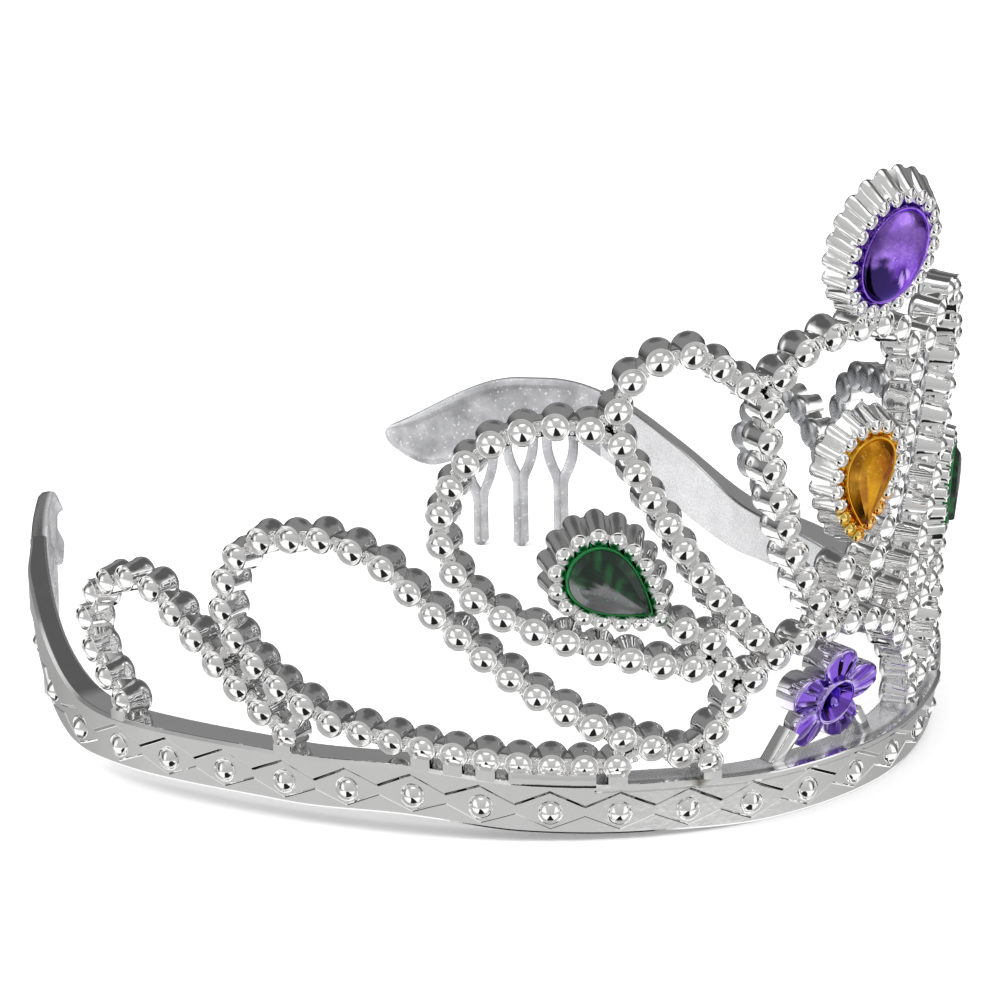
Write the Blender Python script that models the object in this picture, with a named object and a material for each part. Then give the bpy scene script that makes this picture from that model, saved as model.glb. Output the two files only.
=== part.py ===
"""Toy tiara with beaded scroll loops, five set stones, a flower boss and two comb tabs.

The whole tiara lies on one upright panel that bends round the head.  A point of the panel is given
by how far it is round the head from the centre line (along), how high it is above the line of studs
(up) and how far it stands out of the bead faces (out), all in millimetres.  panel_point() turns these
three into a place.  Every loop is a row of beads strung along a smooth curve, and the right half
repeats the left half.
"""

import math

import bmesh
import bpy
from mathutils import Matrix, Vector

MM = 0.001

# The panel, seen from above, from the centre line to the tip of one comb tab: arcs as radius and
# length, then a straight end.  The origin is under the middle of the whole tiara.
PLAN_ARCS = ((50.0, 30.0), (75.0, 35.0), (130.0, 30.0), (46.0, 30.0), (65.0, 20.0))
PANEL_LENGTH = 184.0
PLAN_STEP = 0.5
HALF_DEPTH = 58.65

# Gentle steps in height along the panel: where each starts and ends, and by how much it goes up.
PANEL_STEPS = ((27.0, 85.0, 3.0), (110.0, 150.0, 14.8), (154.0, 184.0, -5.5))
BAND_TOP_STEPS = ((104.0, 126.0, 3.55), (155.0, 185.0, -5.1))
BAND_BOTTOM_STEPS = ((128.0, 136.0, -1.0), (137.0, 150.0, 2.5), (152.0, 166.0, -3.5), (167.5, 180.0, 6.5))
BAND_LIFT_STEPS = ((10.0, 28.0, 0.75), (44.0, 57.0, 0.5), (58.0, 76.0, -1.25))
BAND_BACK_STEPS = ((96.0, 126.0, 2.4),)
FRONT_LEAN = math.radians(4.6)
LEAN_END = 108.0
STUD_LINE_HEIGHT = 3.0

# Beads and the gaps between neighbouring pieces.
BEAD_RADIUS = 1.9
BEAD_SHOULDER = 0.55
BEAD_END = 0.92
BEAD_DEPTH = 4.4
WEB_HALF_WIDTH = 1.2
GAP = 0.3

# The band that runs along the bottom.
BAND_TOP = 3.6
BAND_DEPTH = 4.8
BELT_HALF_HEIGHT = 1.5
BELT_BEVEL = 0.4
BELT_PROUD = 0.9
STUD_PITCH = 9.0
BAND_BREAKS = (27.0, 63.0, 99.0, 141.0)
TAB_TIP = 177.0

# The comb under each tab.
TOOTH_PITCH = 6.5
FIRST_TOOTH = 148.0
TEETH = 3
TOOTH_FORK = -9.5
TOOTH_WIDTH = 1.9
TOOTH_SPREAD = 4.6
TOOTH_SETBACK = 0.4
TOOTH_DEPTH = 1.6

# The stones and their settings.
DROP_LENGTH = 12.7
DROP_WIDTH = 8.6
OVAL_WIDTH = 11.2
OVAL_HEIGHT = 13.4
BEZEL_WIDTH = 2.3
DROP_FLARE = 1.0
OVAL_FLARE = 1.3
OVAL_LIFT = 0.7
STONE_SEAT = 1.2
STONE_PROUD = 1.1
OUTLINE_POINTS = 24

# The flower boss.
FLOWER_CENTRE = 11.4
FLOWER_RADIUS = 7.8
FLOWER_SETBACK = 0.8
FLOWER_TILT = math.radians(15)
PETALS = 5
PETAL_DEPTH = 3.6
CUP_RADIUS = 3.4
CUP_HEIGHT = 1.0
FLOWER_POINTS = 40
STRUT_FOOT = (7.8, 9.8)
STRUT_HEAD = ((8.4, 7.2), (7.0, 6.5))
STRUT_SETBACK = 0.5

# Bead rows of one half: name, how many beads, and the points that the row's curve passes through.
SIDE_ROWS = (
    ("rear_loop_outer", 7, ((103, 6.1), (107.5, 10), (110.6, 15), (108, 21), (101, 23.9))),
    ("rear_loop_inner", 7, ((96.7, 23.2), (90.4, 17.8), (83.6, 11.7), (76.4, 6.1))),
    ("low_loop_bottom", 9, ((31.8, 6.9), (44, 6.9), (57, 7.6), (65.6, 8.4))),
    ("low_loop_heel", 8, ((69.8, 9.0), (77.6, 12.8), (83.8, 18.6), (85.2, 24), (82.6, 29.8))),
    ("low_loop_crown", 6, ((78.9, 32.5), (70, 34), (61.5, 31.6), (58.3, 28.9))),
    ("low_loop_slope", 10, ((55.1, 26.3), (45.6, 18.8), (34.8, 12.5), (23.4, 7.9))),
    ("tall_loop_bottom", 8, ((17.7, 19.2), (26.4, 20.7), (38.6, 24.2), (46.2, 26.9))),
    ("tall_loop_heel", 6, ((49.8, 29), (53.5, 34.5), (53.6, 41), (50.3, 47.2))),
    ("tall_loop_crown", 4, ((47.1, 50.1), (41, 52.8), (35, 52.6))),
    ("shared_slope", 9, ((31.2, 50.6), (26, 40.6), (19.3, 29.8), (13.5, 22.9))),
    ("upper_loop_crown", 6, ((31.6, 55.1), (29, 60), (22.7, 62), (15.9, 57.3))),
    ("centre_loop_side", 7, ((12.7, 49.5), (11.7, 44.5), (8, 33), (4.1, 26.1))),
    ("flower_arch", 7, ((2.1, 21.9), (10.2, 19.6), (16.4, 14), (18.9, 10.3), (19.4, 6.5))),
    ("drop_stem", 2, ((23.2, 25.3), (19.5, 23.3))),
)
CENTRE_ROWS = (
    ("centre_loop_crown", 9, ((-12.6, 53.7), (-9.5, 59.8), (0, 62.5), (9.5, 59.8), (12.6, 53.7))),
    ("centre_stem", 2, ((0, 29.8), (0, 25.6))),
)

# Stones: colour, shape, centre along and up, turn of its point, how far its rim stands out,
# how deep its setting is, and how far its face looks down.
SIDE_STONES = (("green", "drop", 32.4, 32.0, math.radians(35), 0.6, 5.0, 0.0),)
CENTRE_STONES = (
    ("amber", "drop", 0.0, 42.4, math.radians(90), 2.6, 3.6, math.radians(6)),
    ("purple", "oval", 0.0, 72.9, 0.0, 4.2, 3.6, math.radians(11)),
)


def remove_scene_objects():
    for old_object in list(bpy.data.objects):
        bpy.data.objects.remove(old_object, do_unlink=True)


def make_material(name, colour, metallic, roughness):
    material = bpy.data.materials.new(name)
    material.use_nodes = True
    shader = material.node_tree.nodes["Principled BSDF"]
    shader.inputs["Base Color"].default_value = (*colour, 1.0)
    shader.inputs["Metallic"].default_value = metallic
    shader.inputs["Roughness"].default_value = roughness
    material.diffuse_color = (*colour, 1.0)
    return material


def smooth_step(value, start, end):
    part = min(max((value - start) / (end - start), 0.0), 1.0)
    return part * part * (3.0 - 2.0 * part)


def stepped(steps, along):
    """The height that a list of gentle steps has gained at a distance round the head."""
    return sum(height * smooth_step(along, start, end) for start, end, height in steps)


def panel_rise(along):
    return stepped(PANEL_STEPS, along)


def panel_heading(along):
    """How far the panel has turned at a distance round the head."""
    turned = 0.0
    for radius, length in PLAN_ARCS:
        run = min(max(along, 0.0), length)
        turned += run / radius
        along -= length
    return turned


def trace_plan():
    """Places along the stud line, one every PLAN_STEP, seen from above."""
    places = [Vector((0.0, -HALF_DEPTH))]
    for step in range(int(PANEL_LENGTH / PLAN_STEP)):
        middle = (step + 0.5) * PLAN_STEP
        climb = panel_rise(middle + PLAN_STEP / 2) - panel_rise(middle - PLAN_STEP / 2)
        level = math.sqrt(PLAN_STEP ** 2 - climb ** 2)
        turn = panel_heading(middle)
        places.append(places[-1] + level * Vector((math.cos(turn), math.sin(turn))))
    return places


PLAN = trace_plan()


def panel_point(along, up, out):
    """The place, in metres, of a panel point; along is positive on the left of the wearer."""
    side = -1.0 if along < 0.0 else 1.0
    distance = abs(along)
    index = min(int(distance / PLAN_STEP), len(PLAN) - 2)
    plan = PLAN[index].lerp(PLAN[index + 1], distance / PLAN_STEP - index)
    turn = panel_heading(distance)
    outward = Vector((math.sin(turn), -math.cos(turn), 0.0))
    tilt = FRONT_LEAN * max(0.0, 1.0 - distance / LEAN_END)
    height = STUD_LINE_HEIGHT + panel_rise(distance) + up * math.cos(tilt)
    place = Vector((plan.x, plan.y, height)) + outward * (out + up * math.sin(tilt))
    place.x *= side
    return place * MM


def new_object(name, mesh_data, material):
    """Turn a closed bmesh into a named object with its faces pointing out."""
    bmesh.ops.recalc_face_normals(mesh_data, faces=mesh_data.faces[:])
    mesh = bpy.data.meshes.new(name)
    mesh_data.to_mesh(mesh)
    mesh_data.free()
    mesh.materials.append(material)
    mesh.shade_smooth()
    mesh.set_sharp_from_angle(angle=math.radians(35))
    made = bpy.data.objects.new(name, mesh)
    bpy.context.collection.objects.link(made)
    return made


def loft(name, sections, material, closed=False):
    """Join rings of places, all with the same number of points, into one closed body."""
    mesh_data = bmesh.new()
    rings = [[mesh_data.verts.new(place) for place in section] for section in sections]
    size = len(rings[0])
    pairs = list(zip(rings, rings[1:]))
    if closed:
        pairs.append((rings[-1], rings[0]))
    for first, second in pairs:
        for i in range(size):
            j = (i + 1) % size
            mesh_data.faces.new((first[i], first[j], second[j], second[i]))
    if not closed:
        mesh_data.faces.new(rings[0])
        mesh_data.faces.new(rings[-1])
    return new_object(name, mesh_data, material)


def slab(name, corners, faces, front, back, material):
    """A flat shape drawn on the panel as corners and faces, between two depths."""
    mesh_data = bmesh.new()
    fronts = [mesh_data.verts.new(panel_point(along, up, front)) for along, up in corners]
    backs = [mesh_data.verts.new(panel_point(along, up, back)) for along, up in corners]
    edge_uses = {}
    for face in faces:
        mesh_data.faces.new([fronts[i] for i in face])
        mesh_data.faces.new([backs[i] for i in reversed(face)])
        for i, j in zip(face, face[1:] + face[:1]):
            edge_uses.setdefault(frozenset((i, j)), []).append((i, j))
    for uses in edge_uses.values():
        if len(uses) == 1:
            i, j = uses[0]
            mesh_data.faces.new((fronts[j], fronts[i], backs[i], backs[j]))
    return new_object(name, mesh_data, material)


def smooth_curve(points, per_span=24):
    """A Catmull-Rom curve through the points, as many close points."""
    knots = [Vector(point) for point in points]
    ends = [2 * knots[0] - knots[1]] + knots + [2 * knots[-1] - knots[-2]]
    curve = []
    for before, start, end, after in zip(ends, ends[1:], ends[2:], ends[3:]):
        for step in range(per_span):
            t = step / per_span
            curve.append(0.5 * (2 * start + (end - before) * t
                                + (2 * before - 5 * start + 4 * end - after) * t ** 2
                                + (3 * start - before - 3 * end + after) * t ** 3))
    curve.append(knots[-1])
    return curve


def walk(curve, distance):
    """The point and direction at a distance along a curve, past its ends too."""
    left = distance
    for start, end in zip(curve, curve[1:]):
        span = (end - start).length
        if left <= span or end is curve[-1]:
            direction = (end - start).normalized()
            return start + direction * left, direction
        left -= span


def bead_row(name, beads, points, side, material):
    """A row of touching bead columns, scalloped along both edges."""
    curve = smooth_curve(points)
    length = sum((end - start).length for start, end in zip(curve, curve[1:]))
    pitch = length / (beads - 1)
    shoulder = BEAD_SHOULDER * BEAD_RADIUS
    end = BEAD_END * BEAD_RADIUS
    shoulder_width = math.sqrt(BEAD_RADIUS ** 2 - shoulder ** 2)
    end_width = math.sqrt(BEAD_RADIUS ** 2 - end ** 2)
    stations = [(-end, end_width)]
    for bead in range(beads):
        middle = bead * pitch
        stations += [(middle - shoulder, shoulder_width), (middle, BEAD_RADIUS),
                     (middle + shoulder, shoulder_width)]
        if bead < beads - 1:
            stations.append((middle + pitch / 2, WEB_HALF_WIDTH))
    stations.append((length + end, end_width))
    sections = []
    for distance, half_width in stations:
        centre, direction = walk(curve, distance)
        across = Vector((-direction.y, direction.x)) * half_width
        corners = (centre + across, centre - across)
        section = [panel_point(side * c.x, c.y, 0.0) for c in corners]
        section += [panel_point(side * c.x, c.y, -BEAD_DEPTH) for c in reversed(corners)]
        sections.append(section)
    return loft(name, sections, material)


def band_edges(along):
    """How high the band's top and bottom edges are at a distance round the head."""
    lift = stepped(BAND_LIFT_STEPS, along)
    top = BAND_TOP + lift + stepped(BAND_TOP_STEPS, along)
    bottom = lift + stepped(BAND_BOTTOM_STEPS, along) - STUD_LINE_HEIGHT
    return top, bottom


def band_section(along, side):
    """The band's outline across its length: a belt of studs stands proud of its face."""
    top, bottom = band_edges(along)
    back = stepped(BAND_BACK_STEPS, along) - BAND_DEPTH
    outline = [(bottom, 0.0), (top, 0.0), (top, back), (bottom, back)]
    if along <= BAND_BREAKS[-1]:
        stud_line = stepped(BAND_LIFT_STEPS, along)
        belt = BELT_HALF_HEIGHT
        root = belt + BELT_BEVEL
        outline[1:1] = [(stud_line - root, 0.0), (stud_line - belt, BELT_PROUD),
                        (stud_line + belt, BELT_PROUD), (stud_line + root, 0.0)]
    return [panel_point(side * along, up, out) for up, out in outline]


def band_piece(name, start, end, side, material, station_pitch=STUD_PITCH / 2):
    steps = max(2, round((end - start) / station_pitch))
    stations = [start + (end - start) * step / steps for step in range(steps + 1)]
    return loft(name, [band_section(along, side) for along in stations], material)


def band_front(name, end, material):
    steps = 2 * round(end / (STUD_PITCH / 2))
    sections = []
    for step in range(steps + 1):
        along = -end + 2 * end * step / steps
        sections.append(band_section(abs(along), -1.0 if along < 0 else 1.0))
    return loft(name, sections, material)


def table_level(along):
    """How far up the panel the table is at a distance round the head."""
    return -STUD_LINE_HEIGHT - panel_rise(along)


def comb_tooth(name, along, side, material):
    """One tooth: two prongs leave the tab and join into a stem that reaches the table."""
    spread = TOOTH_SPREAD / 2
    half = TOOTH_WIDTH / 2
    prong = spread - 1.4 * half
    point = 0.8 * half
    tops = [band_edges(along + across)[1] - 2 * GAP for across in (-spread, -prong, prong, spread)]
    crotch = TOOTH_FORK + 0.8 * TOOTH_WIDTH
    left_foot, right_foot = [table_level(along + across) for across in (-point, point)]
    corners = ((-spread, tops[0]), (-prong, tops[1]), (0.0, crotch), (prong, tops[2]), (spread, tops[3]),
               (half, TOOTH_FORK), (point, right_foot), (-point, left_foot), (-half, TOOTH_FORK))
    faces = ([0, 1, 2, 8], [3, 4, 5, 2], [8, 2, 5, 6, 7])
    placed = [(side * (along + across), up) for across, up in corners]
    return slab(name, placed, faces, -TOOTH_SETBACK, -TOOTH_SETBACK - TOOTH_DEPTH, material)


def drop_outline(length, width):
    """A teardrop with its point at +X: a full round end that draws in to a point."""
    outline = []
    for step in range(OUTLINE_POINTS):
        angle = 2 * math.pi * (step + 0.5) / OUTLINE_POINTS
        across = math.sin(angle) * abs(math.sin(angle / 2)) / 0.77
        outline.append(Vector((math.cos(angle) * length / 2, across * width / 2)))
    return outline


def oval_outline(width, height):
    angles = [2 * math.pi * (step + 0.5) / OUTLINE_POINTS for step in range(OUTLINE_POINTS)]
    return [Vector((math.cos(a) * width / 2, math.sin(a) * height / 2)) for a in angles]


def grown(outline, margin):
    """The outline moved outward by a margin."""
    centre = sum(outline, Vector((0.0, 0.0))) / len(outline)
    moved = []
    for i, point in enumerate(outline):
        along = outline[(i + 1) % len(outline)] - outline[i - 1]
        normal = Vector((along.y, -along.x)).normalized()
        if normal.dot(point - centre) < 0:
            normal = -normal
        moved.append(point + normal * margin)
    return moved


def stone_frame(centre_along, centre_up, turn, out, tilt, side):
    """A local frame on the panel: X along the stone's own axis, Z out of its face."""
    centre = panel_point(side * centre_along, centre_up, out)
    ahead = panel_point(side * (centre_along + 0.5), centre_up, out)
    above = panel_point(side * centre_along, centre_up + 0.5, out)
    round_head = (ahead - centre).normalized() * side
    upward = (above - centre).normalized()
    facing = round_head.cross(upward).normalized()
    upward = facing.cross(round_head)
    frame = Matrix((round_head, upward, facing)).transposed().to_4x4()
    frame = Matrix.Translation(centre) @ frame @ Matrix.Rotation(tilt, 4, "X")
    if side > 0:
        turn = math.pi + turn
    else:
        turn = -turn
    return frame @ Matrix.Rotation(turn, 4, "Z")


def placed_ring(outline, scale, shift, level, frame):
    points = [Vector((p.x * scale, p.y * scale + shift, level)) for p in outline]
    return [frame @ (point * MM) for point in points]


def setting(name, outline, depth, flare, lift, frame, material):
    """A cup round the stone: outer wall, flat rim, seat wall and seat floor."""
    seat = grown(outline, GAP)
    levels = ((grown(outline, BEZEL_WIDTH + flare), lift, -depth),
              (grown(outline, BEZEL_WIDTH), 0.0, 0.0), (seat, 0.0, 0.0), (seat, 0.0, -STONE_SEAT))
    rings = [placed_ring(ring, 1.0, shift, level, frame) for ring, shift, level in levels]
    return loft(name, rings, material)


def stone(name, outline, frame, material):
    """The stone on its seat: a girdle, a shoulder and a flat crown."""
    levels = ((1.0, GAP - STONE_SEAT), (1.0, 0.0), (0.82, 0.6 * STONE_PROUD), (0.45, STONE_PROUD))
    rings = [placed_ring(outline, scale, 0.0, level, frame) for scale, level in levels]
    return loft(name, rings, material)


def set_stone(prefix, stone_choice, side, metal, lacquers):
    colour, shape, along, up, turn, out, depth, tilt = stone_choice
    frame = stone_frame(along, up, turn, out, tilt, side)
    if shape == "drop":
        outline = drop_outline(DROP_LENGTH, DROP_WIDTH)
        setting(prefix + colour + "_setting", outline, depth, DROP_FLARE, 0.0, frame, metal)
    else:
        outline = oval_outline(OVAL_WIDTH, OVAL_HEIGHT)
        setting(prefix + colour + "_setting", outline, depth, OVAL_FLARE, OVAL_LIFT, frame, metal)
    stone(prefix + colour + "_stone", outline, frame, lacquers[colour])


def flower_outline(radius):
    outline = []
    for step in range(FLOWER_POINTS):
        angle = 2 * math.pi * (step + 0.5) / FLOWER_POINTS
        lobe = abs(math.cos(PETALS * (angle - math.pi / 2) / 2)) ** 0.6
        reach = radius * (0.5 + 0.5 * lobe)
        outline.append(Vector((reach * math.cos(angle), reach * math.sin(angle))))
    return outline


def flower(name, material):
    """Five petals round a raised cup; the face looks down but the back is upright."""
    upright = stone_frame(0.0, FLOWER_CENTRE, 0.0, -FLOWER_SETBACK, 0.0, -1.0)
    frame = stone_frame(0.0, FLOWER_CENTRE, 0.0, -FLOWER_SETBACK, FLOWER_TILT, -1.0)
    petals = flower_outline(FLOWER_RADIUS)
    cup = [point.normalized() * CUP_RADIUS for point in petals]
    levels = ((petals, 1.0, 0.0), (cup, 1.0, 0.3 * CUP_HEIGHT), (cup, 0.95, CUP_HEIGHT),
              (cup, 0.7, CUP_HEIGHT), (cup, 0.45, -0.4 * CUP_HEIGHT))
    rings = [placed_ring(ring, scale, 0.0, level, frame) for ring, scale, level in levels]
    back = [upright.inverted() @ corner for corner in rings[0]]
    rings.insert(0, [upright @ Vector((corner.x, corner.y, -PETAL_DEPTH * MM)) for corner in back])
    return loft(name, rings, material)


def flower_strut(name, side, material):
    """A short foot that holds a lower petal off the band."""
    foot = [(along, BAND_TOP + GAP) for along in STRUT_FOOT]
    corners = [(side * along, up) for along, up in (*foot, *STRUT_HEAD)]
    return slab(name, corners, ([0, 1, 2, 3],), -STRUT_SETBACK, -PETAL_DEPTH, material)


def build_half(prefix, side, metal, bare, lacquers):
    for name, beads, points in SIDE_ROWS:
        bead_row(prefix + name, beads, points, side, metal)
    for stone_choice in SIDE_STONES:
        set_stone(prefix, stone_choice, side, metal, lacquers)
    flower_strut(prefix + "flower_strut", side, metal)
    names = ("band_side", "band_rear", "band_arm")
    for name, start, end in zip(names, BAND_BREAKS, BAND_BREAKS[1:]):
        band_piece(prefix + name, start + GAP, end, side, metal)
    band_piece(prefix + "comb_tab", BAND_BREAKS[-1] + GAP, TAB_TIP, side, bare, STUD_PITCH / 6)
    for tooth in range(TEETH):
        along = FIRST_TOOTH + tooth * TOOTH_PITCH
        comb_tooth(f"{prefix}comb_tooth_{tooth + 1}", along, side, bare)


def build_centre(metal, lacquers):
    band_front("band_front", BAND_BREAKS[0], metal)
    for name, beads, points in CENTRE_ROWS:
        bead_row(name, beads, points, 1.0, metal)
    for stone_choice in CENTRE_STONES:
        set_stone("", stone_choice, -1.0, metal, lacquers)
    flower("flower", lacquers["purple"])


def main():
    remove_scene_objects()
    metal = make_material("silver_plate", (0.78, 0.78, 0.8), 1.0, 0.12)
    bare = make_material("pearl_plastic", (0.72, 0.73, 0.75), 0.1, 0.35)
    lacquers = {
        "purple": make_material("purple_lacquer", (0.17, 0.03, 0.5), 0.9, 0.1),
        "amber": make_material("amber_lacquer", (0.75, 0.4, 0.02), 0.9, 0.1),
        "green": make_material("green_lacquer", (0.0, 0.16, 0.05), 0.9, 0.1),
    }
    build_centre(metal, lacquers)
    build_half("left_", 1.0, metal, bare, lacquers)
    build_half("right_", -1.0, metal, bare, lacquers)


main()
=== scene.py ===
"""Looks of the toy tiara: plated beads, relief band, fluted settings, lacquered stones, pearly combs.

Every piece is drawn on the same upright panel that bends round the head.  A point of the panel is
given in millimetres by how far it is round the head from the centre line (along), how high it is
above the line of studs (up) and how far it stands out of the bead faces (out).
"""
import math

import bmesh
import bpy
import numpy as np
from mathutils import Matrix, Vector


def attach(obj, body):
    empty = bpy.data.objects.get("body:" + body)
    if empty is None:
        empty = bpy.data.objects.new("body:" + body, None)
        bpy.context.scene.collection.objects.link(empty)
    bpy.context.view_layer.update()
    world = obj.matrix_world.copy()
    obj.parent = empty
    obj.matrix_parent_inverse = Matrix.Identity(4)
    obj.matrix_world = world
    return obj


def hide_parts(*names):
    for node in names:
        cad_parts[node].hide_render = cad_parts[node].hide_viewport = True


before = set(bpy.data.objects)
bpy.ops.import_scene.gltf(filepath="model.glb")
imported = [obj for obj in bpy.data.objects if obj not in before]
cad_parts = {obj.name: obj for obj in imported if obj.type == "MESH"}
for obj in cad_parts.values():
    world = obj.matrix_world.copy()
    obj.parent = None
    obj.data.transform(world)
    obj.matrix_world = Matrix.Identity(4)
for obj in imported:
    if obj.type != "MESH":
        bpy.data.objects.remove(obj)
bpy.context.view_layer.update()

MM = 0.001
SIDES = (("left_", 1.0), ("right_", -1.0))
RANDOM = np.random.default_rng(7)

# The panel, as in the CAD part.
PLAN_ARCS = ((50.0, 30.0), (75.0, 35.0), (130.0, 30.0), (46.0, 30.0), (65.0, 20.0))
PANEL_LENGTH = 184.0
PLAN_STEP = 0.5
HALF_DEPTH = 58.65
PANEL_STEPS = ((27.0, 85.0, 3.0), (110.0, 150.0, 14.8), (154.0, 184.0, -5.5))
BAND_TOP_STEPS = ((104.0, 126.0, 2.95), (155.0, 185.0, -5.1))
BAND_BOTTOM_STEPS = ((128.0, 136.0, -1.0), (137.0, 150.0, 2.5), (152.0, 166.0, -3.5), (167.5, 180.0, 6.5))
BAND_LIFT_STEPS = ((10.0, 28.0, 0.75), (44.0, 57.0, 0.5), (58.0, 76.0, -1.25))
BAND_BACK_STEPS = ((96.0, 126.0, 2.4),)
FRONT_LEAN = math.radians(4.6)
LEAN_END = 108.0
STUD_LINE_HEIGHT = 3.0

# Beads.
BEAD_RADIUS = 1.88
BEAD_FLARE = 0.42
BEAD_DEPTH = 4.4
BEAD_SEGMENTS = 28
SMALL_SEGMENTS = 20
WEB_HALF_WIDTH = 1.15
WEB_FRONT = -0.95
LINK_REACH = 5.4
FOOT_REACH = 2.6
BEAD_WOBBLE = 0.03

# The band.
BAND_TOP = 4.2
BAND_DEPTH = 4.8
STUD_PITCH = 9.0
STUD_TOP = 0.88
BAND_BREAKS = (27.0, 63.0, 99.0, 141.0)
TAB_TIP = 177.0
TIP_ROUND = 1.6
LAST_STUD = 137.0
# Which corners of the band's outline lie on the step under the zigzag's edge, where a painted shadow goes.
ZIGZAG_STEP = (10, 11)
GLUE_SPOT = (-21.3, 4.9, 0.6)
GLUE_RADIUS = 1.3

# The comb.
TOOTH_PITCH = 6.5
FIRST_TOOTH = 148.0
TEETH = 3
TOOTH_MIDDLE = -1.2
TOOTH_CORNERS = 14

# The stones and their settings.
DROP_LENGTH = 12.7
DROP_WIDTH = 8.6
OVAL_WIDTH = 11.2
OVAL_HEIGHT = 13.4
BEZEL_WIDTH = 2.3
# Bead radius and pitch of a setting, and how deep its wall lies between the beads.
ROUND_BEADING = (1.2, 2.46, 0.75)
FLUTED_BEADING = (1.02, 2.25, 0.22)
DROP_FLARE = 1.0
OVAL_FLARE = 1.25
OVAL_LIFT = 0.55
STONE_PROUD = 1.1
OUTLINE_POINTS = 96
NO_TIP = 100.0

# The flower boss.
FLOWER_CENTRE = 11.4
FLOWER_RADIUS = 7.8
FLOWER_SETBACK = 0.8
FLOWER_TILT = math.radians(15)
PETALS = 5
PETAL_DEPTH = 3.6
CUP_RADIUS = 3.4
RIBS = 4
PISTIL_SEGMENTS = 14

# Bead rows of one half: name, how many beads, and the points that the row's curve passes through.
SIDE_ROWS = (
    ("rear_loop_outer", 7, ((103, 6.1), (107.5, 10), (110.6, 15), (108, 21), (101, 23.9))),
    ("rear_loop_inner", 7, ((96.7, 23.2), (90.4, 17.8), (83.6, 11.7), (76.4, 6.1))),
    ("low_loop_bottom", 9, ((31.8, 6.9), (44, 6.9), (57, 7.6), (65.6, 8.4))),
    ("low_loop_heel", 8, ((69.8, 9.0), (77.6, 12.8), (83.8, 18.6), (85.2, 24), (82.6, 29.8))),
    ("low_loop_crown", 6, ((78.9, 32.5), (70, 34), (61.5, 31.6), (58.3, 28.9))),
    ("low_loop_slope", 10, ((55.1, 26.3), (45.6, 18.8), (34.8, 12.5), (23.4, 7.9))),
    ("tall_loop_bottom", 8, ((17.7, 19.2), (26.4, 20.7), (38.6, 24.2), (46.2, 26.9))),
    ("tall_loop_heel", 6, ((49.8, 29), (53.5, 34.5), (53.6, 41), (50.3, 47.2))),
    ("tall_loop_crown", 4, ((47.1, 50.1), (41, 52.8), (35, 52.6))),
    ("shared_slope", 9, ((31.2, 50.6), (26, 40.6), (19.3, 29.8), (13.5, 22.9))),
    ("upper_loop_crown", 6, ((31.6, 55.1), (29, 60), (22.7, 62), (15.9, 57.3))),
    ("centre_loop_side", 7, ((12.7, 49.5), (11.7, 44.5), (8, 33), (4.1, 26.1))),
    ("flower_arch", 7, ((2.1, 21.9), (10.2, 19.6), (16.4, 14), (18.9, 10.3), (19.4, 6.5))),
    ("drop_stem", 2, ((23.2, 25.3), (19.5, 23.3))),
)
CENTRE_ROWS = (
    ("centre_loop_crown", 9, ((-12.6, 53.7), (-9.5, 59.8), (0, 62.5), (9.5, 59.8), (12.6, 53.7))),
    ("centre_stem", 2, ((0, 29.8), (0, 25.6))),
)

# Stones: colour, shape, centre along and up, turn of its point, how far its rim stands out,
# how deep its setting is, and how far its face looks down.
SIDE_STONES = (("green", "drop", 32.4, 32.0, math.radians(35), 0.6, 5.0, 0.0),)
CENTRE_STONES = (
    ("amber", "drop", 0.0, 42.4, math.radians(90), 2.6, 3.6, math.radians(6)),
    ("purple", "oval", 0.0, 72.9, 0.0, 4.2, 3.6, math.radians(11)),
)

# Colours of the lacquer that has strayed on to the plating, of dried glue, and of the painted shadow under
# the zigzag's edge.
LACQUERS = {"purple": (0.15, 0.05, 0.42), "amber": (0.85, 0.45, 0.02), "green": (0.0, 0.17, 0.04)}
AMBER_BEADS = (0.8, 0.55, 0.04)
GLUE, ZIGZAG_SHADOW_PAINT = (0.13, 0.12, 0.06), (0.05, 0.05, 0.05)
# The oval stone's painted dark reflection and its painted glints.
OVAL_PAINTED_DARK, GLINT = (0.016, 0.006, 0.08), (0.72, 0.5, 1.0)
# The flower's petals, the pale lines painted on them as highlights, the painted shade in the hollow of its
# cup, and its pistil.
PETAL, PALE_HIGHLIGHT_LINE = (0.2, 0.09, 0.56), (0.74, 0.64, 0.95)
CUP_SHADE_PAINT, PISTIL = (0.012, 0.006, 0.05), (0.3, 0.2, 0.75)
# The drop stones' rim colour, their painted shade colour, and how strongly that painted shade lies beside
# the middle facet, on its ridges, at the tip and over the upper side.
DROP_RIM_COLOURS_AND_SHADE = {
    "amber_lacquer": ((0.85, 0.5, 0.05), (0.17, 0.04, 0.012), (0.42, 0.7, 0.92, 0.0)),
    "green_lacquer": ((0.012, 0.2, 0.045), (0.008, 0.018, 0.011), (0.0, 0.0, 0.9, 0.93)),
}

# How bright the studio's side panels, ground, ceiling and dark stand are in the plating.
SIDE_LIGHT, GROUND_LIGHT, CEILING_LIGHT, STAND_LIGHT = 1.15, 1.2, 1.6, 0.02

# The camera looks at this place from the right front, a little above.
AIM = Vector((0.00955, 0.01739, 0.02317))
CAMERA_TURN = -0.72303
CAMERA_RISE = 0.29503
CAMERA_ROLL = -0.01813
CAMERA_DISTANCE = 0.571
CAMERA_LENS = 140.97


# ---- the panel ----


def smooth_step(value, start, end):
    part = min(max((value - start) / (end - start), 0.0), 1.0)
    return part * part * (3.0 - 2.0 * part)


def stepped(steps, along):
    """The height that a list of gentle steps has gained at a distance round the head."""
    return sum(height * smooth_step(along, start, end) for start, end, height in steps)


def panel_heading(along):
    """How far the panel has turned at a distance round the head."""
    turned = 0.0
    for radius, length in PLAN_ARCS:
        turned += min(max(along, 0.0), length) / radius
        along -= length
    return turned


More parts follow.
